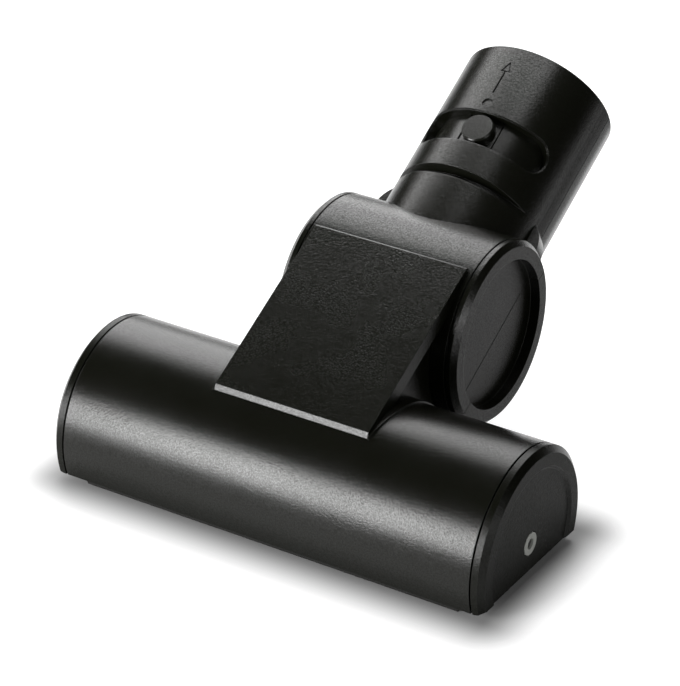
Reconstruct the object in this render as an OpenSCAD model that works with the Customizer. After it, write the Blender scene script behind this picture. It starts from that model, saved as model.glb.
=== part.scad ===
// Turbo brush for a vacuum cleaner wand: an air turbine turns a small bristle roller by a belt.
// Units are millimetres. X runs along the roller, Y to the rear, Z up, and the floor is at Z = 0.

/* [Head] */
// Length of the head over both end caps
head_len = 135; // [128:1:150]
// Outer radius of the arched housing
head_r = 26.75; // [26.25:0.05:28]
// Wall thickness of the arched housing
head_wall = 2.2; // [1.8:0.1:2.6]
// How far the sole stands below the flat underside of the housing
sole_drop = 2.5; // [2.2:0.1:3]
// Thickness of the sole sheet inside the housing
sole_sheet = 2.2; // [1.8:0.1:2.6]
// How far the sole skirt stops short of each end of the head
skirt_inset = 7.5; // [6:0.5:9]
// How far the sole skirt stops short of the housing, front and back
skirt_short = 2.4; // [2:0.1:2.8]
// Width of the sole between the mouth and the edge of the skirt
mouth_land = 6.8; // [6.5:0.1:7]
// How far the mouth stops short of each end of the head
mouth_inset = 11.5; // [11:0.5:13]
// Distance of the sole screws from each end of the head
screw_inset = 17.5; // [16:0.5:22]
// Distance of the sole screws from the edge of the mouth
screw_land = 3.6; // [3.4:0.1:3.8]
// Radius of the screw posts inside the housing
post_r = 3; // [2.6:0.1:3.2]
// How far the heel under the drum stops short of the drum axis
heel_short = 3.2; // [2:0.2:6]
// Half width of the heel
heel_half = 20; // [17:1:22]

/* [End caps] */
// Length of each end cap behind its groove
cap_len = 3.4; // [3.2:0.1:4.6]
// Width of the groove between housing and end cap
cap_groove = 0.5; // [0.3:0.1:0.8]
// Radial size of the chamfer round the end face
cap_bevel = 1.8; // [1:0.1:2]
// Length of the same chamfer along the head
cap_bevel_len = 1.5; // [0.8:0.1:1.7]
// How far the foot of the end face stands above the foot of the arch
cap_toe = 1.1; // [0.6:0.1:1.5]
// Length of that slope along the head
cap_toe_len = 2.4; // [1.8:0.1:2.8]
// Width of the rim round the recessed panel in the end face
cap_rim = 5.35; // [4.5:0.05:6]
// Depth of the recessed panel
cap_panel_depth = 0.7; // [0.4:0.1:1]
// Width of the slope round the recessed panel
cap_panel_slope = 0.8; // [0.4:0.1:1.2]
// How far the bearing hub of each end cap reaches into the head
hub_reach = 5.5; // [4:0.5:6.5]
// Radius of the bearing hubs
hub_r = 6; // [5.4:0.1:7]
// Radius of the light ring of the axle bush
bush_r = 3.2; // [3:0.1:3.8]
// How far the ring of the bush is wider than its stem
bush_lip = 0.4; // [0.3:0.1:0.6]
// Depth of the pocket that the ring of the bush lies in
bush_sunk = 0.6; // [0.4:0.1:0.8]
// How far the ring of the bush stands out of the panel
bush_out = 0.1; // [0.1:0.1:0.5]

/* [Roller] */
// Radius of the steel rod that the roller turns on
axle_r = 1.5; // [1.3:0.1:1.8]
// Radius of the roller core
core_r = 6.4; // [6.2:0.1:6.8]
// Radius over the bristle tips
tip_r = 10.9; // [10.4:0.1:11.2]
// Height of the bristle tips above the floor
tip_clear = 0.6; // [0.4:0.1:1]
// Radius of one bristle tuft
tuft_r = 0.9; // [0.7:0.05:1.1]
// Spacing of the tufts along the roller
tuft_pitch = 4.2; // [3.8:0.1:5]
// Twist of the tuft rows, in degrees for each millimetre along the roller
tuft_twist = 1.5; // [1:0.1:2]

/* [Belt drive] */
// Width of the belt
belt_w = 4.8; // [4.4:0.1:5.2]
// Thickness of the belt
belt_t = 1; // [0.8:0.1:1.2]
// Tread radius of the pulley on the roller
pulley_r = 6; // [5.8:0.1:6.2]
// Tread radius of the pinion on the turbine shaft
pinion_r = 4; // [3.8:0.1:4.2]
// Height of the pulley flanges above the tread
flange_h = 1.6; // [1.4:0.1:1.6]
// Thickness of each pulley flange
flange_t = 0.6; // [0.5:0.1:0.7]

/* [Drum] */
// Upward slope of the bridge from the roller axis to the drum axis, in degrees
bridge_angle = 28.2; // [27:0.1:29]
// Clear distance between head and drum along the bridge
drum_gap = 4.85; // [4.4:0.05:6]
// How far the drum stands out below the neck
drum_over = 0.5; // [0.3:0.1:0.8]
// How far each drum end stands out beside the neck
drum_shoulder = 5.7; // [5.2:0.1:6.6]
// Distance of the groove from each drum end
drum_rim = 3.05; // [2.6:0.05:3.4]
// Radial size and length of the chamfer at each drum end
drum_bevel = 1.5; // [1.2:0.1:1.8]
// Width of the flat rim round the recessed disc, with its chamfer
disc_rim = 5.1; // [4.4:0.1:6]
// Depth of the recessed disc
disc_depth = 3; // [2.6:0.1:3.4]
// Thickness of the disc's floor
disc_floor = 3; // [2.4:0.1:3.4]
// Wall of the drum round the turbine housing
drum_wall = 2.9; // [2.6:0.1:3.2]
// How far the neck tilts up and down, in degrees
swing = 30; // [20:1:32]

/* [Neck] */
// Upward slope of the neck, in degrees
neck_angle = 30.3; // [28:0.1:32]
// Wall of the neck round the swivel tube
neck_wall = 2.8; // [2.6:0.1:3.2]
// How far the neck axis lies below the drum axis
neck_drop = 3; // [2.6:0.1:3.2]
// Gap of the parting line between the two half shells
seam_gap = 0.25; // [0.15:0.05:0.35]
// Width of the ledge under the swivel tube
duct_ledge = 3.2; // [2.8:0.1:4]
// Distance of the narrow slot from the drum's surface
rib_off = 6; // [5.4:0.1:6.6]
// Width of the narrow slot at the surface
rib_w = 3.3; // [2.9:0.1:3.6]
// Angle from the middle of the narrow slot to where it runs out to nothing
rib_half = 62; // [54:1:68]
// Distance between the two slots
slot_off = 9.3; // [8.8:0.1:10.6]
// Width of the wide slot
slot_w = 10.5; // [10.3:0.1:10.8]
// Half angle over the rounded ends of the wide slot
slot_half = 57; // [50:1:60]
// Length of the neck above the wide slot
neck_top = 23.5; // [21:0.5:30]
// Position of the engraved marks round the neck, in degrees
mark_angle = -2.5; // [-6:0.5:6]
// Depth of the engraved marks
mark_depth = 0.45; // [0.2:0.05:0.6]
// How far the web at the foot of the neck stands out beside it
web_out = 3.3; // [2.4:0.1:3.8]
// Height of that web above the drum
web_high = 8.5; // [6:0.5:10]
// Thickness of that web
web_t = 5.6; // [4:0.2:7]

/* [Swivel tube] */
// Bore that takes the wand
socket_r = 17.5; // [17:0.05:18]
// Wall of the swivel tube
tube_wall = 2.65; // [2.5:0.05:3]
// Width of the stop at the foot of the socket
stop_ledge = 1.1; // [0.8:0.1:1.6]
// Radius of the round lock button
button_r = 4.65; // [4.4:0.05:4.7]
// How far the button top lies below the outside of the neck
button_sunk = 0.4; // [0.3:0.1:1]
// Width of the springy tongue that carries the button
tongue_w = 10.4; // [9.8:0.1:11]
// Length of the tongue
tongue_len = 16.5; // [16:0.1:18]
// Thickness of the tongue
tongue_t = 1.8; // [1.5:0.1:1.8]

/* [Turbine] */
// Number of turbine blades
blade_count = 12; // [8:1:14]
// Thickness of one blade
blade_t = 1.2; // [1:0.1:1.4]
// Room between the blades and the turbine housing
blade_gap = 1.7; // [1.2:0.1:2.4]
// Wall of the turbine housing
housing_wall = 1.8; // [1.5:0.1:2]
// Inner radius of the ring that carries the blades
ring_r = 7.1; // [6.6:0.1:7.6]
// Width of the channel wall from the bridge into the turbine
throat_wall = 1.5; // [1.2:0.1:1.8]

/* [Bridge cover] */
// How far the grained cover plate stops short of each drum end
plate_inset = 4.8; // [4.2:0.1:5.6]
// How far the plate stands above the arch of the head
plate_rise = 1.1; // [0.9:0.05:1.3]
// Thickness of the plate at its side edges
plate_t = 4.5; // [4:0.1:5]
// Length of the chamfer at the lower end of the plate
plate_bevel = 1.4; // [1:0.1:2]
// How far the plate stands out beside the walls of the bridge
plate_lip = 2.9; // [2.4:0.1:3.4]
// Walls and floor of the bridge
bridge_wall = 2; // [1.8:0.1:2.4]
// How far the collar on the arch widens beside the plate
saddle_flare = 2.4; // [1.5:0.1:3]

/* [Hidden] */
$fn = 96;
// Clearances: press seat, running fit, seat of a fixed piece, loose gap, gap round the bridge
seat_gap = 0.02;
run_gap = 0.05;
fix_gap = 0.1;
loose_gap = 0.3;
box_gap = 0.5;
// Neck and swivel tube, from the bore outwards
tube_r = socket_r + tube_wall;
neck_bore_r = tube_r + run_gap;
neck_r = neck_bore_r + neck_wall;
duct_r = neck_bore_r - duct_ledge;
stop_r = socket_r - stop_ledge;
// Drum round the foot of the neck
drum_r = neck_r + neck_drop + drum_over;
drum_half = neck_r + drum_shoulder;
drum_groove_x = drum_half - drum_rim;
drum_bore_r = drum_r - drum_wall;
disc_r = drum_r - disc_rim;
groove_w = 0.5;
// Places along the neck, from the drum axis
rib_s0 = drum_r + rib_off;
slot_s0 = rib_s0 + rib_w + slot_off;
slot_s1 = slot_s0 + slot_w;
neck_len = slot_s1 + neck_top;
button_s = slot_s0 + slot_w / 2;
seat_s = slot_s0 - 7.1;
stop_s = seat_s + 6;
mark_s = slot_s1 + 6.8;
tube_end = neck_len - box_gap;
rib_bevel = 1.2;
rib_floor = neck_bore_r + 0.2;
rib_shift = (pow(neck_r, 2) - pow(rib_floor, 2)) / (2 * (rib_floor - neck_r * cos(rib_half)));
rib_floor_r = rib_floor + rib_shift;
rib_turn = atan2(neck_r * sin(rib_half), neck_r * cos(rib_half) + rib_shift) + 1;
slot_lip = 0.35;
ring_half = slot_half - slot_w / 2 / neck_r * 180 / PI;
// Tongue of the lock button
tongue_s0 = stop_s - 3;
tongue_s1 = tongue_s0 + tongue_len;
tongue_r = tube_r - loose_gap;
slit = 0.4;
// Round edge of the web at the foot of the neck
web_foot = web_out + 0.6;
web_r = (pow(web_foot, 2) + pow(web_high, 2)) / (2 * web_foot);
// Screws that hold the neck shells together
neck_screw_r = 1.15;
neck_screw_x = duct_r + 2.4;
neck_screw_s = rib_s0 - 3.8;
neck_screw_in = 8;
// Head
axis_h = tip_r + tip_clear;
half_len = head_len / 2;
cover_end = half_len - cap_len - cap_groove;
head_in_r = head_r - head_wall;
rise = axis_h - sole_drop;
skirt_half = sqrt(pow(head_r, 2) - pow(rise, 2)) - skirt_short;
sheet_half = sqrt(pow(head_in_r, 2) - pow(rise, 2)) - loose_gap;
skirt_slope = 1.5;
mouth_half = skirt_half - mouth_land;
mouth_corner = 3;
mouth_x = half_len - mouth_inset - mouth_corner;
cap_panel_r = head_r - cap_rim;
panel_x = half_len - cap_panel_depth;
cap_wall = 2.2;
toe_x = half_len - cap_toe_len;
ring_gap = 0.2;
spigot_len = 3.5;
spigot_wall = 1.8;
hub_x = cover_end - hub_reach;
bush_stem_r = bush_r - bush_lip;
roller_end = hub_x - 0.8;
// Sole screws and their posts
screw_x = half_len - screw_inset;
screw_y = mouth_half + screw_land;
screw_r = 1.4;
screw_head_r = 2.7;
screw_len = 13;
// Bridge
bridge_len = head_r + drum_gap + drum_r;
drum_y = bridge_len * cos(bridge_angle);
drum_z = axis_h + bridge_len * sin(bridge_angle);
plate_half = drum_half - plate_inset;
plate_top = head_r + plate_rise;
plate_low = plate_top - plate_t;
plate_u = 0.5;
wall_out = plate_half - plate_lip;
wall_in = wall_out - bridge_wall;
box_low = 9.8;
saddle_half = plate_half + saddle_flare;
saddle_h = 0.5;
saddle_y = -head_r * sin(bridge_angle);
stiff_x = (saddle_half + screw_x) / 2;
heel_end = drum_y - heel_short;
heel_rise = 11.6;
heel_wall = 2;
// Turbine housing inside the drum
housing_end = drum_half - disc_depth - disc_floor - loose_gap;
housing_out_r = drum_bore_r - box_gap;
chamber_r = housing_out_r - housing_wall;
end_wall = 2;
cover_t = 1.8;
cover_hub_t = 0.8;
cover_x = housing_end - cover_t;
cover_hub_x = cover_x - cover_hub_t;
divider_t = 2;
belt_side = 2;
belt_room = belt_w + 2 * belt_side;
split_x = cover_hub_x - belt_room - divider_t;
belt_x = cover_hub_x - belt_room / 2;
throat_half = box_low - 0.2;
throat_x = wall_in - loose_gap;
throat_u = head_in_r + 0.55;
window_x = wall_in + box_gap;
band_in = window_x + 0.2;
window_half = asin(throat_half / drum_bore_r) + swing + 2;
window_from = bridge_angle + 180 - window_half;
window_to = bridge_angle + 180 + window_half;
outlet_from = neck_angle - swing - 50;
outlet_to = neck_angle + swing + 37;
// Bearings, shaft and turbine wheel
bearing_r = 4;
bearing_len = 2.9;
bearing_x = 3.4 - housing_end;
boss_r = 6;
boss_x = bearing_x + bearing_len + 0.7;
boss_end = split_x + bearing_len + 0.2;
shaft_end = cover_hub_x - 0.9;
turbine_r = chamber_r - blade_gap;
wheel_x0 = boss_x + 1.9;
wheel_x1 = split_x - 2.5;
wheel_mid = (wheel_x0 + wheel_x1) / 2;
shaft_hub_r = axle_r + 2;
blade_foot = ring_r + 0.3;
blade_span = (turbine_r - blade_foot) / 2;
blade_bend = blade_span + 3.4;
blade_rise = sqrt(pow(blade_bend, 2) - pow(blade_span, 2)) + 0.7;
// Screws of the belt cover
cover_screws = [28, 118, 298];
cover_screw_in = 4.8;
cover_screw_at = chamber_r - cover_screw_in;
cover_screw_r = 1;
cover_screw_len = 7.6;
cover_head_r = 2.1;
cover_head_t = 0.8;
cover_post_r = 2.6;
cover_hole_len = cover_screw_len;
cover_hole_r = cover_screw_r + loose_gap;
cover_thread_r = cover_screw_r + run_gap;
cover_head_x = housing_end - cover_head_t - fix_gap;
hub_bore_r = axle_r + 0.9;
// Middle of the footprint
neck_foot_y = drum_y + neck_len * cos(neck_angle) + (neck_r + neck_drop) * sin(neck_angle);
mid_y = (neck_foot_y - head_r) / 2;

// Draws children with the middle of the footprint at the origin
module on_floor()
    translate([0, -mid_y, 0])
        children();

// Extrudes a profile drawn in Y and Z from x0 to x1
module slab(x0, x1)
    translate([x0, 0, 0])
        rotate([90, 0, 90])
            linear_extrude(x1 - x0)
                children();

// Places a flat profile at the roller axis
module at_roller()
    translate([0, axis_h])
        children();

// Places a flat profile at the drum axis
module at_drum()
    translate([drum_y, drum_z])
        children();

// Places a flat profile at the roller axis, turned so that its first axis points to the drum
module at_bridge()
    translate([0, axis_h])
        rotate(bridge_angle)
            children();

// Rod along X between x0 and x1 round the point y, z
module rod(y, z, x0, x1, r0, r1)
    translate([x0, y, z])
        rotate([0, 90, 0])
            cylinder(h = x1 - x0, r1 = r0, r2 = r1);

module roller_rod(x0, x1, r)
    rod(0, axis_h, x0, x1, r, r);

module drum_rod(x0, x1, r)
    rod(drum_y, drum_z, x0, x1, r, r);

// Part of a ring round an axis along X, from angle a0 to a1
module ring_part(y, z, x0, x1, r0, r1, a0, a1)
    translate([x0, y, z])
        rotate([90, 0, 90])
            rotate([0, 0, a0])
                rotate_extrude(angle = a1 - a0)
                    translate([r0, 0])
                        square([r1 - r0, x1 - x0]);

// Turns the frame so that Z runs up the neck and -Y looks to its front, with the drum axis at 0
module up_neck()
    translate([0, drum_y, drum_z])
        rotate([neck_angle - 90, 0, 0])
            children();

// The same, with the neck's own axis at 0
module neck_axis()
    up_neck()
        translate([0, neck_drop, 0])
            children();

// Sector of a profile (radius, height) round the neck axis, centred on its front
module neck_part(half)
    rotate([0, 0, -90 - half])
        rotate_extrude(angle = 2 * half)
            children();

// Everything above height z, over the whole head
module above(z)
    translate([-half_len, -head_r, z])
        cube([head_len, 2 * head_r, axis_h + head_r]);

// Flat D of the head
module head_profile(r)
    intersection() {
        at_roller()
            circle(r);
        translate([-head_r, sole_drop])
            square([2 * head_r, axis_h + head_r]);
    }

// Places children at the four sole screws
module at_screws(z)
    for (x = [-screw_x, screw_x])
        for (y = [-screw_y, screw_y])
            translate([x, y, z])
                children();

// Low collar on the arch round the foot of the plate, which widens to the rear
module saddle()
    difference() {
        intersection() {
            ring_part(0, axis_h, -saddle_half, saddle_half, head_r - head_wall / 2, head_r + saddle_h,
                bridge_angle - 46, bridge_angle + 89);
            linear_extrude(axis_h + 2 * head_r)
                polygon([
                    [-plate_half - 0.2, saddle_y - 2],
                    [plate_half + 0.2, saddle_y - 2],
                    [saddle_half, 0],
                    [saddle_half, 2 * head_r],
                    [-saddle_half, 2 * head_r],
                    [-saddle_half, 0]
                ]);
        }
        slab(-plate_half - fix_gap, plate_half + fix_gap)
            at_bridge()
                translate([-head_r, plate_low - run_gap])
                    square(2 * head_r);
    }

// Side walls and floor of the box that joins the head to the drum
module bridge_box() {
    for (side = [-1, 1])
        slab(side > 0 ? wall_in : -wall_out, side > 0 ? wall_out : -wall_in)
            difference() {
                at_bridge()
                    translate([head_in_r / 2, -box_low - bridge_wall])
                        square([bridge_len - head_in_r / 2, box_low + bridge_wall + plate_low - run_gap]);
                at_drum()
                    circle(drum_r + box_gap);
                at_roller()
                    circle(head_in_r);
            }
    slab(-wall_out, wall_out)
        difference() {
            at_bridge()
                translate([head_in_r / 2, -box_low - bridge_wall])
                    square([bridge_len - drum_r / 2 - head_in_r / 2, bridge_wall]);
            at_drum()
                circle(drum_r + box_gap);
            at_roller()
                circle(head_in_r);
        }
}

module screw_posts()
    intersection() {
        at_screws(sole_drop + sole_sheet + fix_gap)
            cylinder(h = head_r, r = post_r);
        roller_rod(-half_len, half_len, head_r - head_wall / 4);
    }

module head_cover()
    color([0.06, 0.06, 0.06])
        difference() {
            union() {
                slab(-cover_end, cover_end)
                    difference() {
                        head_profile(head_r);
                        at_roller()
                            circle(head_in_r);
                    }
                saddle();
                bridge_box();
                screw_posts();
                // stiffening ribs inside the arch
                for (x = [-stiff_x, stiff_x])
                    ring_part(0, axis_h, x - 0.8, x + 0.8, head_in_r - 1.6, head_r - head_wall / 2, 0, 180);
            }
            // way from the head into the bridge
            slab(-wall_in, wall_in)
                at_bridge()
                    translate([head_in_r / 3, -box_low])
                        square([bridge_len - head_in_r / 3, box_low + plate_low - 2.6]);
            roller_rod(-saddle_half - 1, saddle_half + 1, head_in_r);
            at_screws(sole_drop)
                cylinder(h = screw_len + 1, r = screw_r + run_gap);
        }

module bridge_cover()
    color([0.1, 0.1, 0.1])
        difference() {
            slab(-plate_half, plate_half)
                difference() {
                    at_bridge()
                        polygon([
                            [plate_u, plate_low],
                            [plate_u, head_r + 0.05],
                            [plate_u + plate_bevel, plate_top],
                            [bridge_len + 0.1, plate_top],
                            [bridge_len + 0.7, plate_top - 0.5],
                            [bridge_len + 0.7, plate_low]
                        ]);
                    at_roller()
                        circle(head_r + seat_gap);
                    at_drum()
                        circle(drum_r + loose_gap);
                }
            // room under the plate
            slab(-wall_in, wall_in)
                at_bridge()
                    translate([head_r / 2, plate_low - 1])
                        square([bridge_len - head_r, plate_t - 1]);
        }

// Tray that carries the rear under the drum
module heel() {
    translate([-heel_half, skirt_half - 3, 0])
        cube([2 * heel_half, heel_end - skirt_half + 3, sole_drop - 0.2]);
    for (x = [heel_wall - heel_half, 0, heel_half - heel_wall])
        slab(x - heel_wall / 2, x + heel_wall / 2)
            difference() {
                translate([head_r + 1, 0])
                    square([heel_end - head_r - 1, heel_rise]);
                at_drum()
                    circle(drum_r + loose_gap);
            }
    translate([-heel_half, heel_end - heel_wall, 0])
        cube([2 * heel_half, heel_wall, heel_rise - 4.6]);
}

module sole_plate()
    color([0.07, 0.07, 0.07])
        difference() {
            union() {
                translate([-cover_end + loose_gap, -sheet_half, sole_drop])
                    cube([2 * (cover_end - loose_gap), 2 * sheet_half, sole_sheet]);
                translate([0, skirt_half, 0])
                    rotate([90, 0, 0])
                        linear_extrude(2 * skirt_half)
                            polygon([
                                [skirt_inset + skirt_slope - half_len, 0],
                                [half_len - skirt_inset - skirt_slope, 0],
                                [half_len - skirt_inset, sole_drop],
                                [skirt_inset - half_len, sole_drop]
                            ]);
                heel();
            }
            // mouth with rounded corners
            translate([0, 0, -1])
                linear_extrude(sole_drop + sole_sheet + 2) {
                    square([head_len - 2 * mouth_inset, 2 * (mouth_half - mouth_corner)], center = true);
                    square([head_len - 2 * (mouth_inset + mouth_corner), 2 * mouth_half], center = true);
                    for (x = [-mouth_x, mouth_x])
                        for (y = [mouth_corner - mouth_half, mouth_half - mouth_corner])
                            translate([x, y])
                                circle(mouth_corner);
                }
            at_screws(-1) {
                cylinder(h = sole_drop + 0.7, r = screw_head_r + 0.2);
                cylinder(h = sole_drop + sole_sheet + 2, r = screw_r + 0.2);
            }
        }

module sole_screws()
    color([0.55, 0.55, 0.57])
        at_screws(0.5) {
            difference() {
                cylinder(h = 1.6, r = screw_head_r);
                translate([0, 0, -0.1])
                    cylinder(h = 1.1, r = 1.1, $fn = 6);
            }
            cylinder(h = screw_len, r = screw_r);
        }

// End cap on the right side
module end_cap() {
    bevel_x = half_len - cap_bevel_len;
    difference() {
        union() {
            slab(half_len - cap_len, bevel_x)
                head_profile(head_r);
            intersection() {
                rod(0, axis_h, bevel_x, half_len, head_r, head_r - cap_bevel);
                above(sole_drop);
            }
        }
        // recessed panel with a sloping edge
        rod(0, axis_h, panel_x, half_len + cap_panel_depth, cap_panel_r - cap_panel_slope,
            cap_panel_r + cap_panel_slope);
        // sloping foot
        translate([0, head_r, 0])
            rotate([90, 0, 0])
                linear_extrude(2 * head_r)
                    polygon([
                        [toe_x, sole_drop],
                        [half_len + cap_toe_len, sole_drop - 1],
                        [half_len + cap_toe_len, sole_drop + 2 * cap_toe]
                    ]);
        intersection() {
            roller_rod(half_len - cap_len - 1, panel_x - cap_wall, head_in_r);
            above(sole_drop + sole_sheet);
        }
        roller_rod(hub_x - 1, half_len + 1, bush_stem_r);
        roller_rod(panel_x - bush_sunk, half_len + 1, bush_r + ring_gap);
    }
    difference() {
        union() {
            intersection() {
                roller_rod(cover_end - spigot_len, panel_x - 1, head_in_r - fix_gap);
                above(sole_drop + sole_sheet + loose_gap);
            }
            roller_rod(hub_x, panel_x - 1, hub_r);
        }
        difference() {
            roller_rod(cover_end - spigot_len - 1, panel_x - cap_wall, head_in_r - fix_gap - spigot_wall);
            roller_rod(0, half_len, hub_r);
        }
        roller_rod(hub_x - 1, half_len + 1, bush_stem_r);
    }
}

module end_cap_left()
    color([0.06, 0.06, 0.06])
        mirror([1, 0, 0])
            end_cap();

module end_cap_right()
    color([0.06, 0.06, 0.06])
        end_cap();

module axle_bushes()
    color([0.62, 0.62, 0.6])
        for (side = [0, 1])
            mirror([side, 0, 0])
                difference() {
                    union() {
                        roller_rod(hub_x, panel_x, bush_stem_r - seat_gap);
                        roller_rod(panel_x - bush_sunk + seat_gap, panel_x + bush_out, bush_r);
                    }
                    roller_rod(0, half_len + 1, axle_r + seat_gap);
                }

module roller_axle()
    color([0.45, 0.45, 0.47])
        roller_rod(0.6 - panel_x, panel_x - 0.6, axle_r);

// Pulley between two flanges, centred on the belt
module pulley_profile(y, z, r) {
    rod(y, z, belt_x - belt_w / 2 - 0.2, belt_x + belt_w / 2 + 0.2, r, r);
    for (side = [-1, 1])
        translate([side * (belt_w / 2 + fix_gap + flange_t / 2), 0, 0])
            rod(y, z, belt_x - flange_t / 2, belt_x + flange_t / 2, r + flange_h, r + flange_h);
}

module roller_core()
    color([0.2, 0.2, 0.21])
        difference() {
            union() {
                roller_rod(-roller_end, belt_x - belt_w / 2 - 0.2, core_r);
                roller_rod(belt_x + belt_w / 2 + 0.2, roller_end, core_r);
                pulley_profile(0, axis_h, pulley_r);
            }
            roller_rod(-half_len, half_len, axle_r + run_gap);
        }

module bristle_tufts()
    color([0.12, 0.12, 0.13]) {
        last = floor((half_len - mouth_inset - tuft_r - box_gap) / tuft_pitch);
        free = belt_w / 2 + flange_t + tuft_r + 0.7;
        for (row = [0:3])
            for (i = [-last:last])
                if (abs(i * tuft_pitch - belt_x) > free)
                    translate([i * tuft_pitch, 0, axis_h])
                        rotate([row * 90 + 20 + abs(i * tuft_pitch) * tuft_twist, 0, 0])
                            translate([0, 0, core_r - 0.6])
                                cylinder(h = tip_r - core_r + 0.6, r = tuft_r, $fn = 24);
    }

// Closed line round both pulleys, at a distance from their treads
module belt_line(away) {
    low = pulley_r + away;
    top = pinion_r + away;
    a = asin((pulley_r - pinion_r) / bridge_len);
    steps = 32;
    polygon(concat(
        [for (i = [0:steps])
            let (t = 90 - a + (180 + 2 * a) * i / steps)
                [low * cos(t), low * sin(t)]],
        [for (i = [0:steps])
            let (t = a - 90 + (180 - 2 * a) * i / steps)
                [bridge_len + top * cos(t), top * sin(t)]]
    ));
}

// Belt with an arc round each pulley and two straight strands between them
module drive_belt()
    color([0.03, 0.03, 0.03])
        slab(belt_x - belt_w / 2, belt_x + belt_w / 2)
            at_bridge()
                difference() {
                    belt_line(loose_gap + belt_t);
                    belt_line(loose_gap);
                }

// Channel from the bridge into the turbine housing, open by v below the middle line
module throat(x0, x1, h, v)
    slab(x0, x1)
        at_bridge()
            translate([throat_u - v, -h])
                square([bridge_len - throat_u, 2 * h]);

module turbine_housing_left()
    color([0.16, 0.16, 0.17]) {
        difference() {
            union() {
                drum_rod(-housing_end, split_x, housing_out_r);
                drum_rod(-housing_end, -band_in, drum_bore_r - run_gap);
                throat(-throat_x, split_x, throat_half, 0);
            }
            drum_rod(end_wall - housing_end, split_x + 1, chamber_r);
            throat(throat_wall - throat_x, split_x + 1, throat_half - throat_wall, 1);
            ring_part(drum_y, drum_z, end_wall + 2.9 - housing_end, split_x + 1, chamber_r - 1,
                drum_bore_r + 1, outlet_from, outlet_to);
        }
        difference() {
            drum_rod(end_wall / 2 - housing_end, boss_x, boss_r);
            drum_rod(bearing_x, boss_x + 1, bearing_r + seat_gap);
        }
    }

// Places children at the screws of the belt cover
module at_cover_screws()
    for (a = cover_screws)
        translate([0, drum_y + cover_screw_at * cos(a), drum_z + cover_screw_at * sin(a)])
            children();

module turbine_housing_right()
    color([0.16, 0.16, 0.17])
        difference() {
            union() {
                difference() {
                    union() {
                        drum_rod(split_x + fix_gap, housing_end, housing_out_r);
                        drum_rod(band_in, housing_end, drum_bore_r - run_gap);
                        throat(split_x + fix_gap, throat_x, throat_half, 0);
                    }
                    drum_rod(split_x + divider_t, housing_end + 1, chamber_r);
                    throat(split_x + divider_t, throat_x + 1, throat_half - throat_wall, 1);
                }
                drum_rod(split_x + divider_t / 2, boss_end, boss_r);
                at_cover_screws()
                    rod(0, 0, split_x + divider_t / 2, cover_x - fix_gap, cover_post_r, cover_post_r);
            }
            drum_rod(split_x - 1, boss_end + 1, bearing_r + seat_gap);
            at_cover_screws()
                rod(0, 0, cover_x - cover_hole_len, cover_x + 1, cover_thread_r, cover_thread_r);
        }

module belt_cover()
    color([0.16, 0.16, 0.17])
        difference() {
            union() {
                drum_rod(cover_x, housing_end, chamber_r - fix_gap);
                drum_rod(cover_hub_x, cover_x + fix_gap, boss_r);
            }
            drum_rod(cover_hub_x - 1, cover_hub_x + 0.2, hub_bore_r);
            at_cover_screws() {
                rod(0, 0, cover_x - 1, housing_end + 1, cover_hole_r, cover_hole_r);
                rod(0, 0, cover_head_x - fix_gap, housing_end + 1, cover_head_r + 0.2, cover_head_r + 0.2);
            }
        }

module housing_screws()
    color([0.55, 0.55, 0.57])
        at_cover_screws() {
            rod(0, 0, cover_x + 1 - cover_screw_len, cover_head_x + fix_gap, cover_screw_r, cover_screw_r);
            rod(0, 0, cover_head_x, cover_head_x + cover_head_t, cover_head_r, cover_head_r);
        }

module shaft_bearings()
    color([0.6, 0.6, 0.62])
        for (x = [bearing_x + run_gap, split_x + 0.15])
            difference() {
                drum_rod(x, x + bearing_len, bearing_r);
                drum_rod(x - 1, x + bearing_len + 1, axle_r + seat_gap);
            }

module turbine_shaft()
    color([0.6, 0.6, 0.62])
        drum_rod(bearing_x + 0.2, shaft_end, axle_r);

// Curved blade between the ring and the outer radius
module blade()
    intersection() {
        translate([blade_foot + blade_span, blade_rise])
            difference() {
                circle(blade_bend + blade_t / 2);
                circle(blade_bend - blade_t / 2);
            }
        translate([ring_r - 0.1, -ring_r])
            square([turbine_r, ring_r + 2]);
        circle(turbine_r);
    }

module turbine_wheel()
    color([0.75, 0.75, 0.72])
        difference() {
            union() {
                slab(wheel_x0, wheel_x1)
                    at_drum() {
                        for (i = [0:blade_count - 1])
                            rotate(i * 360 / blade_count)
                                blade();
                        difference() {
                            circle(ring_r + 1.5);
                            circle(ring_r);
                        }
                        circle(shaft_hub_r);
                    }
                drum_rod(wheel_mid - 0.8, wheel_mid + 0.8, blade_foot + blade_span + 0.5);
            }
            drum_rod(-drum_half, drum_half, axle_r + seat_gap / 2);
        }

module turbine_pinion()
    color([0.7, 0.6, 0.4])
        difference() {
            pulley_profile(drum_y, drum_z, pinion_r);
            drum_rod(0, drum_half, axle_r + seat_gap / 2);
        }

// Outside of the drum with chamfered rims and a groove near each end
module drum_body()
    for (side = [0, 1])
        mirror([side, 0, 0])
            rotate([0, 90, 0])
                difference() {
                    union() {
                        cylinder(h = drum_half - drum_bevel, r = drum_r);
                        translate([0, 0, drum_half - drum_bevel])
                            cylinder(h = drum_bevel, r1 = drum_r, r2 = drum_r - drum_bevel);
                    }
                    translate([0, 0, drum_groove_x - groove_w / 2])
                        difference() {
                            cylinder(h = groove_w, r = drum_r + 1);
                            cylinder(h = groove_w, r = drum_r - groove_w);
                        }
                }

// Arrow with an outlined head, drawn upwards from 0
module arrow_profile() {
    translate([-0.25, 0])
        square([0.5, 8.2]);
    difference() {
        polygon([[-1.6, 7.9], [1.6, 7.9], [0, 11.6]]);
        polygon([[-0.95, 8.35], [0.95, 8.35], [0, 10.6]]);
    }
}

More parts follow.
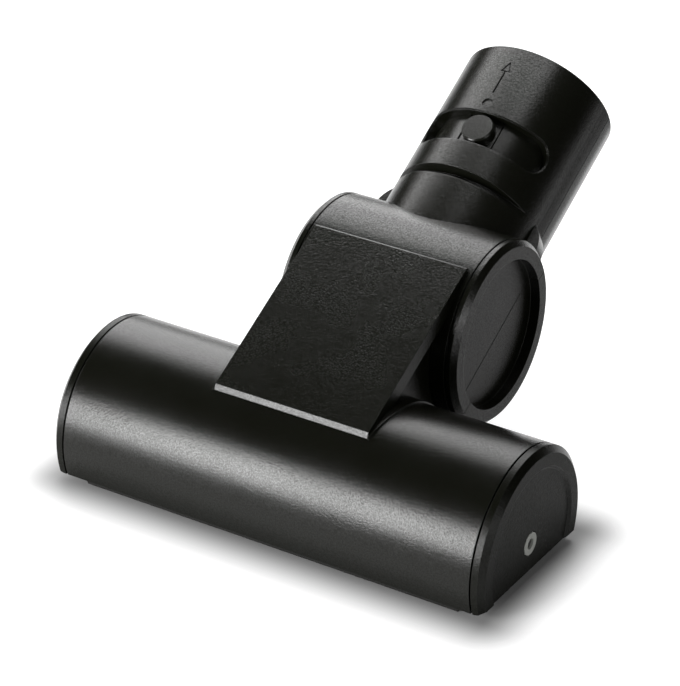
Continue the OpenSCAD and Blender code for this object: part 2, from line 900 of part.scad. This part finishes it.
// Band round the front of the neck with rounded ends, wider by more on each side
module slot_band(from, more) {
    neck_part(ring_half)
        translate([from, slot_s0 - more])
            square([neck_r + 2 - from, slot_w + 2 * more]);
    for (side = [-1, 1])
        rotate([0, 0, side * ring_half])
            translate([0, 0, button_s])
                rotate([90, 0, 0])
                    translate([0, 0, from - 2])
                        cylinder(h = neck_r + 4 - from, r = slot_w / 2 + more);
}

// Wide slot with a stepped lip round the front of the neck
module wide_slot() {
    slot_band(neck_bore_r - 2, 0);
    difference() {
        slot_band(neck_r - slot_lip, slot_lip);
        cylinder(h = neck_len, r = neck_r - slot_lip);
    }
}

// Narrow slot with a slanted upper wall, which runs out to nothing at both ends
module narrow_slot() {
    slope = rib_bevel / (neck_r - rib_floor);
    translate([0, rib_shift, 0])
        neck_part(rib_turn)
            polygon([
                [rib_floor_r, rib_s0],
                [rib_floor_r + neck_r, rib_s0],
                [rib_floor_r + neck_r, rib_s0 + rib_w - rib_bevel + slope * neck_r],
                [rib_floor_r, rib_s0 + rib_w - rib_bevel]
            ]);
}

// Web with a round edge on each side between neck and drum
module neck_webs()
    intersection() {
        translate([-drum_half, -web_t, 0])
            cube([2 * drum_half, web_t, drum_r + web_high + 1]);
        for (side = [0, 1])
            mirror([side, 0, 0])
                intersection() {
                    translate([neck_r + web_out - web_r, 0, drum_r])
                        rotate([90, 0, 0])
                            cylinder(h = web_t, r = web_r);
                    translate([duct_r + 1, -web_t, drum_r / 2])
                        cube([drum_half, web_t, web_high + drum_r]);
                }
    }

// Places children at the screws through both neck shells, with Z to the front
module at_neck_screws()
    for (x = [-neck_screw_x, neck_screw_x])
        translate([x, 0, neck_screw_s])
            rotate([90, 0, 0])
                children();

// Drum and neck in one piece, before they are parted
module neck_solid()
    difference() {
        union() {
            up_neck()
                drum_body();
            neck_axis() {
                cylinder(h = neck_len, r = neck_r);
                neck_webs();
            }
        }
        drum_rod(-housing_end - loose_gap, housing_end + loose_gap, drum_bore_r);
        drum_rod(drum_half - disc_depth, drum_half + 1, disc_r);
        drum_rod(-drum_half - 1, disc_depth - drum_half, disc_r);
        ring_part(drum_y, drum_z, -window_x, window_x, drum_bore_r - 3, drum_r + 3, window_from, window_to);
        neck_axis() {
            cylinder(h = neck_len, r = duct_r);
            translate([0, 0, seat_s])
                cylinder(h = neck_len, r = neck_bore_r);
            wide_slot();
            narrow_slot();
            at_neck_screws() {
                translate([0, 0, -neck_r])
                    cylinder(h = neck_r + neck_screw_in + 1, r = neck_screw_r + run_gap);
                translate([0, 0, -neck_r])
                    cylinder(h = neck_r - neck_screw_in + 1, r = neck_screw_r + 0.9);
            }
            rotate([0, 0, mark_angle])
                translate([0, mark_depth - neck_r, mark_s])
                    rotate([90, 0, 0])
                        linear_extrude(2) {
                            arrow_profile();
                            translate([0, -3.6])
                                circle(1.5);
                        }
        }
    }

module neck_shell_front()
    color([0.06, 0.06, 0.06])
        difference() {
            neck_solid();
            neck_axis()
                translate([-drum_half - 1, -seam_gap / 2, -drum_r - 1])
                    cube([2 * drum_half + 2, 2 * drum_r, neck_len + drum_r + 2]);
        }

module neck_shell_rear()
    color([0.06, 0.06, 0.06])
        difference() {
            neck_solid();
            neck_axis()
                translate([-drum_half - 1, seam_gap / 2 - 2 * drum_r, -drum_r - 1])
                    cube([2 * drum_half + 2, 2 * drum_r, neck_len + drum_r + 2]);
        }

module neck_screws()
    color([0.55, 0.55, 0.57])
        neck_axis()
            at_neck_screws() {
                translate([0, 0, -neck_screw_in])
                    cylinder(h = 2 * neck_screw_in, r = neck_screw_r);
                translate([0, 0, -neck_screw_in - 0.5])
                    cylinder(h = 1.5, r = neck_screw_r + 0.75);
            }

module swivel_tube()
    color([0.08, 0.08, 0.08])
        neck_axis()
            difference() {
                translate([0, 0, seat_s + 0.2])
                    cylinder(h = tube_end - seat_s - 0.2, r = tube_r);
                cylinder(h = neck_len, r = stop_r);
                translate([0, 0, stop_s])
                    cylinder(h = neck_len, r = socket_r);
                translate([0, 0, tube_end - 0.8])
                    cylinder(h = 0.9, r1 = socket_r, r2 = socket_r + 0.9);
                translate([-tongue_w / 2 - slit, -tube_r - 1, tongue_s0 - slit])
                    cube([tongue_w + 2 * slit, tube_r - stop_r + 5, tongue_len + 2 * slit]);
            }

module lock_button()
    color([0.09, 0.09, 0.09])
        neck_axis() {
            intersection() {
                neck_part(45)
                    translate([tongue_r - tongue_t, tongue_s0])
                        square([tongue_t, tongue_len]);
                translate([-tongue_w / 2, -tube_r, tongue_s0 - 1])
                    cube([tongue_w, tube_r, tongue_len + 2]);
            }
            translate([0, 0, button_s])
                rotate([90, 0, 0]) {
                    translate([0, 0, tongue_r - tongue_t / 2])
                        cylinder(h = neck_r - button_sunk - 0.4 - tongue_r + tongue_t / 2, r = button_r);
                    translate([0, 0, neck_r - button_sunk - 0.4])
                        cylinder(h = 0.4, r1 = button_r, r2 = button_r - 0.4);
                }
        }

on_floor() head_cover();
on_floor() bridge_cover();
on_floor() sole_plate();
on_floor() sole_screws();
on_floor() end_cap_left();
on_floor() end_cap_right();
on_floor() axle_bushes();
on_floor() roller_axle();
on_floor() roller_core();
on_floor() bristle_tufts();
on_floor() drive_belt();
on_floor() turbine_housing_left();
on_floor() turbine_housing_right();
on_floor() belt_cover();
on_floor() housing_screws();
on_floor() shaft_bearings();
on_floor() turbine_shaft();
on_floor() turbine_wheel();
on_floor() turbine_pinion();
on_floor() neck_shell_front();
on_floor() neck_shell_rear();
on_floor() neck_screws();
on_floor() swivel_tube();
on_floor() lock_button();
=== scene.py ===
# %% [markdown]
# # A vacuum turbo brush in black plastic
# The brush is a hand tool for the end of a vacuum wand. Air spins a small turbine in the drum, and a
# belt turns the bristle roller in the head. The housing comes from the CAD frame with exact sizes, so
# this lesson is about its finish: how to make black plastic look like black plastic.

# %% Load the frame
import math
import bpy
from mathutils import Matrix, Vector


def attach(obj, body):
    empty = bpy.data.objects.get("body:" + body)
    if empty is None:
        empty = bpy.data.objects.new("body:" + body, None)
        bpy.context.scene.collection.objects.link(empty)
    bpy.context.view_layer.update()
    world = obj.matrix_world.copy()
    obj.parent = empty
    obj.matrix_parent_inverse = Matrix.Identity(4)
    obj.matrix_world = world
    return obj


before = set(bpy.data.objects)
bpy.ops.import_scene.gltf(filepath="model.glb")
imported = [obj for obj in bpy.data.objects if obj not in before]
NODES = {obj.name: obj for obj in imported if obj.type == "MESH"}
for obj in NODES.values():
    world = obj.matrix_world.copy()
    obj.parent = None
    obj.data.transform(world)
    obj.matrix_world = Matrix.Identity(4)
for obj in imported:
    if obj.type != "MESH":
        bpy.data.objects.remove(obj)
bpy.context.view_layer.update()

MM = 0.001

# %% [markdown]
# The camera stands where the photographer stood. Its place was worked out from the edges of the
# object, so it is given here as angles round a point on the object, with the distance and the focal
# length. The point doesn't fall in the middle of the picture, so the camera is moved sideways, and
# no lens shift is needed.

# %% Camera
AIM = Vector((0.0, -28.32, 27.81)) * MM
AZIMUTH, ELEVATION, ROLL = (math.radians(v) for v in (31.27, 28.53, 0.97))
DISTANCE = 869.55 * MM
FOCAL_PX = 3180.0
AIM_PX = (361.74, 381.88)
WIDTH_PX, HEIGHT_PX = 680, 686
SENSOR_MM = 36.0
CLIP_END = 20.0

back = Vector((math.sin(AZIMUTH) * math.cos(ELEVATION),
               -math.cos(AZIMUTH) * math.cos(ELEVATION), math.sin(ELEVATION)))
level = Vector((math.cos(AZIMUTH), math.sin(AZIMUTH), 0.0))
upward = back.cross(level)
right = level * math.cos(ROLL) + upward * math.sin(ROLL)
top = upward * math.cos(ROLL) - level * math.sin(ROLL)
aside = (AIM_PX[0] - WIDTH_PX / 2) / FOCAL_PX * DISTANCE
above = (HEIGHT_PX / 2 - AIM_PX[1]) / FOCAL_PX * DISTANCE

bpy.ops.object.camera_add()
camera = bpy.context.object
camera.name = "camera"
camera.data.sensor_width = SENSOR_MM
camera.data.lens = FOCAL_PX / HEIGHT_PX * SENSOR_MM
camera.data.clip_end = CLIP_END
turn = Matrix((right, top, back)).transposed().to_4x4()
camera.matrix_world = Matrix.Translation(AIM - right * aside - top * above + back * DISTANCE) @ turn
bpy.context.scene.camera = camera
print("lens:", round(camera.data.lens, 1), "mm")

# %% [markdown]
# Every material here is a small tree of nodes. It could be built by hand in the shader editor, or node
# by node in code, which takes many lines. Three helpers keep the trees short: one starts an empty
# material, one adds a node and sets or links its inputs, and one stretches a span of values to another.

# %% Helpers for materials
WHITE = (1.0, 1.0, 1.0, 1.0)


def new_tree(name):
    """An empty node material and its tree."""
    made = bpy.data.materials.new(name)
    made.use_nodes = True
    made.node_tree.nodes.clear()
    return made, made.node_tree


def add_node(tree, kind, inputs, **settings):
    """A node with its settings; an input is linked if it gets another node's output, and set if not."""
    made = tree.nodes.new("ShaderNode" + kind)
    for key, value in settings.items():
        setattr(made, key, value)
    for key, value in inputs.items():
        if isinstance(value, bpy.types.NodeSocket):
            tree.links.new(value, made.inputs[key])
        else:
            made.inputs[key].default_value = value
    return made


def stretch(tree, value, value_span, result_span, curve="LINEAR"):
    """The output of a node that stretches one span of values to another."""
    span = add_node(tree, "MapRange", {
        "Value": value, "From Min": value_span[0], "From Max": value_span[1],
        "To Min": result_span[0], "To Max": result_span[1]}, interpolation_type=curve)
    return span.outputs["Result"]


print("helpers for materials are ready")

# %% [markdown]
# The floor is one big pale sheet. It is a plain diffuse surface, so that it takes the soft shadow of
# the brush. For rays that come from the camera, and for those that mirror or glass send on, light of
# its own lifts it to white. That light starts at nothing under the head and reaches its full amount a
# finger's width out, so the shadow stays and the background is clean. Far out it fades again. How far
# out a spot lies is its distance from a rectangle under the head.

# %% Floor
FLOOR_SIZE = 8.0
FLOOR_COLOUR = (0.42, 0.42, 0.42, 1.0)
HEAD_MIDDLE = (0.0, -0.050, 0.0)
HEAD_HALF = (0.066, 0.026, 0.0)
LIFT_NEAR, LIFT_WHITE, LIFT_FAR = 0.0, 0.85, 0.25
NEAR_SPAN = (0.0, 0.017)
FAR_SPAN = (0.48, 1.2)

bpy.ops.object.select_all(action="DESELECT")
bpy.ops.mesh.primitive_plane_add(size=FLOOR_SIZE, location=(0.0, 0.0, 0.0))
floor = bpy.context.object
floor.name = "floor"

paper, tree = new_tree("pale_paper")
place = add_node(tree, "TexCoord", {}).outputs["Object"]
# what sticks out past the half sizes of the rectangle is the distance from it
shifted = add_node(tree, "VectorMath", {0: place, 1: HEAD_MIDDLE}, operation="SUBTRACT").outputs[0]
mirrored = add_node(tree, "VectorMath", {0: shifted}, operation="ABSOLUTE").outputs[0]
past = add_node(tree, "VectorMath", {0: mirrored, 1: HEAD_HALF}, operation="SUBTRACT").outputs[0]
outside = add_node(tree, "VectorMath", {0: past, 1: (0.0, 0.0, 0.0)}, operation="MAXIMUM").outputs[0]
gap = add_node(tree, "VectorMath", {0: outside}, operation="LENGTH").outputs["Value"]
near_lift = stretch(tree, gap, NEAR_SPAN, (LIFT_NEAR, LIFT_WHITE), "SMOOTHSTEP")
far_lift = stretch(tree, gap, FAR_SPAN, (LIFT_WHITE, LIFT_FAR))
lift = add_node(tree, "Math", {0: near_lift, 1: far_lift}, operation="MINIMUM").outputs[0]
rays = add_node(tree, "LightPath", {}).outputs
seen = add_node(tree, "Math", {0: rays["Is Camera Ray"], 1: rays["Is Glossy Ray"]},
                operation="MAXIMUM").outputs[0]
seen_or_through = add_node(tree, "Math", {0: seen, 1: rays["Is Transmission Ray"]},
                           operation="MAXIMUM").outputs[0]
amount = add_node(tree, "Math", {0: seen_or_through, 1: lift}, operation="MULTIPLY").outputs[0]
glow = add_node(tree, "Emission", {"Color": WHITE, "Strength": amount}).outputs[0]
sheet = add_node(tree, "BsdfDiffuse", {"Color": FLOOR_COLOUR}).outputs[0]
both = add_node(tree, "AddShader", {0: sheet, 1: glow}).outputs[0]
add_node(tree, "OutputMaterial", {"Surface": both})
floor.data.materials.append(paper)
print("floor:", FLOOR_SIZE, "m wide in", paper.name)

# %% [markdown]
# Black plastic shows hardly any colour: what we see is the reflection of the lamps. A tall box that
# stands on the floor at the front left draws the broad band along the arch of the head. A large one
# behind at the left lights the tops of arch and drum. A third hangs low over the neck, and its front
# edge ends behind the head, so the neck gets its sheen and the arch keeps a dark band between its two
# lights. That dark band gives the round form its depth. Three weaker ones at the left, the right and
# the top serve the other views, and the camera hardly sees their reflections.

# %% Lamps
ROOM_GLOW = 0.03


def soft_box(name, place, aim, width, height, glow):
    """An area lamp at a place in metres that looks at a point; glow is how bright its face is."""
    away = Vector(place) - Vector(aim)
    bpy.ops.object.light_add(type="AREA", location=place)
    lamp = bpy.context.object
    lamp.name = name
    lamp.data.shape = "RECTANGLE"
    lamp.data.size = width
    lamp.data.size_y = height
    lamp.data.energy = glow * math.pi * width * height
    lamp.rotation_euler = away.to_track_quat("Z", "Y").to_euler()
    print(name, "with", round(lamp.data.energy, 1), "W")


def on_ring(azimuth, distance, height):
    """A place at an angle in degrees from the front, at a distance from the brush and a height."""
    a = math.radians(azimuth)
    return (math.sin(a) * distance, -math.cos(a) * distance, height)


# name, place, the point that it looks at, width, height, glow
LAMPS = (
    ("lamp_front", on_ring(-26.0, 1.0, 0.24), (0.0, 0.0, 0.24), 0.42, 0.47, 22.0),
    ("lamp_back_left", on_ring(-146.0, 0.98, 0.49), (0.0, -0.03, 0.04), 0.55, 0.58, 4.1),
    ("lamp_over", (-0.165, 0.125, 0.27), (-0.165, 0.125, 0.0), 0.49, 0.17, 5.0),
    ("lamp_left", on_ring(-78.0, 1.1, 0.36), (0.0, 0.0, 0.05), 0.5, 0.5, 4.0),
    ("lamp_right", on_ring(68.0, 1.1, 0.36), (0.0, 0.0, 0.05), 0.5, 0.5, 4.0),
    ("lamp_top", (0.10, -0.20, 1.2), (0.0, -0.03, 0.0), 0.4, 0.3, 1.5),
)
for row in LAMPS:
    soft_box(*row)

room = bpy.data.worlds.new("room")
bpy.context.scene.world = room
room.use_nodes = True
room.node_tree.nodes["Background"].inputs["Color"].default_value = WHITE
room.node_tree.nodes["Background"].inputs["Strength"].default_value = ROOM_GLOW
bpy.context.scene.view_settings.view_transform = "Standard"

# %% [markdown]
# A moulded surface takes the texture of its mould. Here it is a fine spark-eroded grain, about half a
# millimetre across. A noise at that size drives a bump and lets the pits swallow some of the shine. A
# second, coarser noise varies the gloss. Flat faces that look to the side lose most of their shine,
# which is painted shade that darkens what they reflect. The bevel node rounds every edge in the
# shading, because no moulded edge is sharp, and the same node finds the edges that wear pales a little.

# %% Plastic
GRAIN_SPAN = (0.35, 0.65)
PATCH_MM = 14.0
PATCH_SPAN = (0.3, 0.7)
SIDEWAYS_SPAN = (0.96, 0.99)
EDGE_SPAN = (0.99, 0.86)
# the Mix node's sockets share their names, so the ones for colours go by their numbers
COLOUR_A, COLOUR_B, COLOUR_RESULT = 6, 7, 2


def blend(tree, share, first, second):
    """The output of a node that goes from one colour to another as the share goes from 0 to 1."""
    mix = add_node(tree, "Mix", {"Factor": share, COLOUR_A: (*first, 1.0), COLOUR_B: (*second, 1.0)},
                   data_type="RGBA")
    return mix.outputs[COLOUR_RESULT]


def plastic(name, colour, gloss, grain=0.45, depth=0.06, shine=0.30, sides=0.2, sparkle=0.27,
            patch=0.02, worn=0.01, round_mm=0.25):
    """Moulded plastic: colour, roughness, grain size and depth in mm, shine, the part of the shine that
    is left on faces that look to the side, how much the grain changes the shine, how much the gloss
    changes from place to place, how much paler its worn edges are and how round they look."""
    made, tree = new_tree(name)
    place = add_node(tree, "TexCoord", {}, name="place").outputs["Object"]
    surface = add_node(tree, "NewGeometry", {}, name="surface").outputs
    rounded = add_node(tree, "Bevel", {"Radius": round_mm * MM}, samples=4).outputs["Normal"]
    fine = add_node(tree, "TexNoise", {"Vector": place, "Scale": 1.0 / (grain * MM),
                                       "Detail": 2.0, "Roughness": 0.6}).outputs["Fac"]
    bump = add_node(tree, "Bump", {"Strength": 1.0, "Distance": depth * MM, "Height": fine,
                                   "Normal": rounded}, name="grain").outputs["Normal"]
    # the pits of the grain swallow a little of the shine; side faces lose most of it as painted shade
    pits = stretch(tree, fine, GRAIN_SPAN, ((1 - sparkle) * shine, (1 + sparkle) * shine))
    across = add_node(tree, "SeparateXYZ", {0: surface["True Normal"]}).outputs["X"]
    sideways = add_node(tree, "Math", {0: across}, operation="ABSOLUTE").outputs[0]
    painted_side_shade = stretch(tree, sideways, SIDEWAYS_SPAN, (1.0, sides))
    shine_left = add_node(tree, "Math", {0: pits, 1: painted_side_shade}, operation="MULTIPLY").outputs[0]
    # gloss changes softly from place to place
    coarse = add_node(tree, "TexNoise", {"Vector": place, "Scale": 1.0 / (PATCH_MM * MM),
                                         "Detail": 3.0}).outputs["Fac"]
    rough = stretch(tree, coarse, PATCH_SPAN, (gloss - patch, gloss + patch))
    # where the rounded normal leaves the flat one there is an edge, and edges are rubbed paler
    match = add_node(tree, "VectorMath", {0: rounded, 1: surface["Normal"]},
                     operation="DOT_PRODUCT").outputs["Value"]
    edge = stretch(tree, match, EDGE_SPAN, (0.0, 1.0))
    tint = blend(tree, edge, colour, [c + worn for c in colour])
    skin = add_node(tree, "BsdfPrincipled", {
        "Base Color": tint, "Roughness": rough, "Specular IOR Level": shine_left, "Normal": bump},
        name="skin").outputs[0]
    add_node(tree, "OutputMaterial", {"Surface": skin})
    print("plastic:", name)
    return made


BLACK = (0.0035, 0.0038, 0.0022)
housing_black = plastic("housing_black", BLACK, 0.24)
tube_black = plastic("tube_black", BLACK, 0.26, grain=0.5, depth=0.02)
neck_black = plastic("neck_black", BLACK, 0.24, sparkle=0.5)
# the end caps are the same black plastic as the rest; their lower shine is painted shade on their faces
cap_black_shaded = plastic("cap_black_shaded", BLACK, 0.28, shine=0.15)
sole_black = plastic("sole_black", (0.012, 0.012, 0.011), 0.48, depth=0.04)
inner_grey = plastic("inner_grey", (0.05, 0.05, 0.052), 0.42)
roller_grey = plastic("roller_grey", (0.07, 0.07, 0.075), 0.4)
bush_grey = plastic("bush_grey", (0.42, 0.43, 0.40), 0.42, depth=0.01, worn=0.08)
turbine_white = plastic("turbine_white", (0.62, 0.60, 0.54), 0.35, depth=0.01, worn=0.05)
rubber = plastic("belt_rubber", (0.015, 0.015, 0.015), 0.65, grain=0.2, depth=0.03)

# %% [markdown]
# The cover plate has a leather grain: rounded pebbles about half a millimetre across with valleys
# between them. A Voronoi texture gives the distance to the middle of each pebble, and a noise bends
# the cells so that they don't look like a net. The grain is only on the big face of the plate.

# %% Leather grain
PLATE_TILT = math.radians(28.2)
PLATE_UP = (0.0, -math.sin(PLATE_TILT), math.cos(PLATE_TILT))
FACE_SPAN = (0.97, 0.99)
PEBBLE_SPAN = (0.2, 0.7)
PEBBLE_SMOOTH = 0.6
PEBBLE_BRIGHT, VALLEY_DULL = 1.45, 0.55
BEND_SIZE, BEND_PUSH = 1.6, 0.9
# the Mix node's sockets for plain numbers
NUMBER_A, NUMBER_B, NUMBER_RESULT = 2, 3, 0


def leather(name, colour, gloss, shine, cell=0.6, depth=0.04):
    """Plastic with a leather grain on the face that looks along PLATE_UP, and plain everywhere else."""
    made = plastic(name, colour, gloss)
    tree = made.node_tree
    skin = tree.nodes["skin"]
    place = tree.nodes["place"].outputs["Object"]
    flat = tree.nodes["surface"].outputs["True Normal"]
    bump = tree.nodes["grain"].outputs["Normal"]
    plain_shine = skin.inputs["Specular IOR Level"].links[0].from_socket
    # 1 on the grained face, 0 on its edges
    facing = add_node(tree, "VectorMath", {0: flat, 1: PLATE_UP},
                      operation="DOT_PRODUCT").outputs["Value"]
    on_face = stretch(tree, facing, FACE_SPAN, (0.0, 1.0))
    bend = add_node(tree, "TexNoise", {"Vector": place, "Scale": 1.0 / (cell * BEND_SIZE * MM)})
    pushed = add_node(tree, "VectorMath", {
        0: bend.outputs["Color"], 1: (cell * BEND_PUSH * MM,) * 3, 2: place},
        operation="MULTIPLY_ADD").outputs[0]
    away = add_node(tree, "TexVoronoi", {}, feature="SMOOTH_F1")
    away.inputs["Scale"].default_value = 1.0 / (cell * MM)
    away.inputs["Smoothness"].default_value = PEBBLE_SMOOTH
    tree.links.new(pushed, away.inputs["Vector"])
    from_middle = away.outputs["Distance"]
    pebble = add_node(tree, "Bump", {"Distance": depth * MM, "Strength": on_face,
                                     "Height": from_middle, "Normal": bump}, invert=True)
    tree.links.new(pebble.outputs["Normal"], skin.inputs["Normal"])
    # the valleys between the pebbles are dull
    grained_shine = stretch(tree, from_middle, PEBBLE_SPAN, (PEBBLE_BRIGHT * shine, VALLEY_DULL * shine))
    choose = add_node(tree, "Mix", {"Factor": on_face, NUMBER_A: plain_shine, NUMBER_B: grained_shine})
    tree.links.new(choose.outputs[NUMBER_RESULT], skin.inputs["Specular IOR Level"])
    print("leather:", name)
    return made


plate_leather = leather("plate_leather", BLACK, 0.27, shine=0.39)

# %% [markdown]
# Steel parts are small here: screws, the rod of the roller, bearings and the turbine shaft. Turned
# steel has fine rings across its axis, which a stretched noise imitates well enough at this size.

# %% Steel
RING_STRETCH = (9.0, 1.0, 1.0)
SCRATCH_MM = 1.2
SCRATCH_DEPTH_MM = 0.01
SCRATCH_DARK = 0.7
SMOOTHER, ROUGHER = 0.08, 0.12


def steel(name, colour, gloss):
    """Turned metal: its colour and its roughness, which changes with the scratches."""
    made, tree = new_tree(name)
    place = add_node(tree, "TexCoord", {}).outputs["Object"]
    rings = add_node(tree, "Mapping", {"Vector": place, "Scale": RING_STRETCH}).outputs["Vector"]
    scratch = add_node(tree, "TexNoise", {"Vector": rings, "Scale": 1.0 / (SCRATCH_MM * MM),
                                          "Detail": 4.0}).outputs["Fac"]
    bump = add_node(tree, "Bump", {"Distance": SCRATCH_DEPTH_MM * MM, "Height": scratch})
    rough = stretch(tree, scratch, (0.0, 1.0), (gloss - SMOOTHER, gloss + ROUGHER))
    tint = blend(tree, scratch, colour, [c * SCRATCH_DARK for c in colour])
    skin = add_node(tree, "BsdfPrincipled", {
        "Metallic": 1.0, "Base Color": tint, "Roughness": rough, "Normal": bump.outputs["Normal"]})
    add_node(tree, "OutputMaterial", {"Surface": skin.outputs[0]})
    print("steel:", name)
    return made


bright_steel = steel("bright_steel", (0.56, 0.56, 0.57), 0.28)
dull_steel = steel("dull_steel", (0.10, 0.10, 0.10), 0.45)
sintered = steel("sintered_metal", (0.42, 0.37, 0.28), 0.5)

# %% [markdown]
# Now each node of the frame gets its finish. The outside is black plastic, rougher on the sole, with a
# light grey bush in each end cap. Inside there are grey and white plastic, metal and a belt of black
# rubber, whose dull black the bristles share. Each node could get its material in a line of its own.
# A list for each finish is shorter, and shows at a glance which parts share one.

# %% Dress the frame
FINISH = {
    housing_black: ["head_cover"],
    neck_black: ["neck_shell_front", "neck_shell_rear"],
    cap_black_shaded: ["end_cap_left", "end_cap_right"],
    plate_leather: ["bridge_cover"],
    sole_black: ["sole_plate"],
    tube_black: ["swivel_tube", "lock_button"],
    bush_grey: ["axle_bushes"],
    dull_steel: ["roller_axle", "turbine_shaft"],
    bright_steel: ["sole_screws", "housing_screws", "neck_screws", "shaft_bearings"],
    roller_grey: ["roller_core"],
    rubber: ["drive_belt", "bristle_tufts"],
    inner_grey: ["turbine_housing_left", "turbine_housing_right", "belt_cover"],
    turbine_white: ["turbine_wheel"],
    sintered: ["turbine_pinion"],
}
for finish, names in FINISH.items():
    for name in names:
        piece = NODES[name]
        if not piece.material_slots:
            piece.data.materials.append(finish)
        for slot in piece.material_slots:
            slot.material = finish
print("finished:", sum(len(v) for v in FINISH.values()), "of", len(NODES), "nodes")

# %% [markdown]
# The two neck shells meet at a seam that the frame leaves open by a quarter of a millimetre, so light
# would show through it at the neck's mouth. On such a neck a thin tongue on one shell runs in a groove
# of the other. Here each tongue only has to stop the light, so it is a slim box that lies inside the
# wall and tilts with the neck's axis. It runs from just above the swivel tube's seat to just below the
# mouth.

# %% Seam tongues
NECK_TILT = math.radians(30.3)
NECK_START = Vector((0.0, -0.2155, 36.365)) * MM
NECK_AXIS = Vector((0.0, math.cos(NECK_TILT), math.sin(NECK_TILT)))
TONGUE_FROM, TONGUE_TO = 38.5, 78.6
TONGUE_INNER, TONGUE_OUTER = 20.9, 22.5
TONGUE_THICK = 0.24

for side, hand in ((-1, "left"), (1, "right")):
    middle = NECK_START + NECK_AXIS * (TONGUE_FROM + TONGUE_TO) / 2 * MM
    middle.x = side * (TONGUE_INNER + TONGUE_OUTER) / 2 * MM
    bpy.ops.object.select_all(action="DESELECT")
    bpy.ops.mesh.primitive_cube_add(size=1.0, location=middle,
                                    rotation=(NECK_TILT - math.pi / 2, 0.0, 0.0))
    tongue = bpy.context.object
    tongue.name = "seam_tongue_" + hand
    tongue.scale = ((TONGUE_OUTER - TONGUE_INNER) * MM, TONGUE_THICK * MM,
                    (TONGUE_TO - TONGUE_FROM) * MM)
    bpy.ops.object.transform_apply(location=True, rotation=True, scale=True)
    tongue.data.materials.append(neck_black)
    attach(tongue, "neck")
    print(tongue.name, "with", len(tongue.data.polygons), "faces")
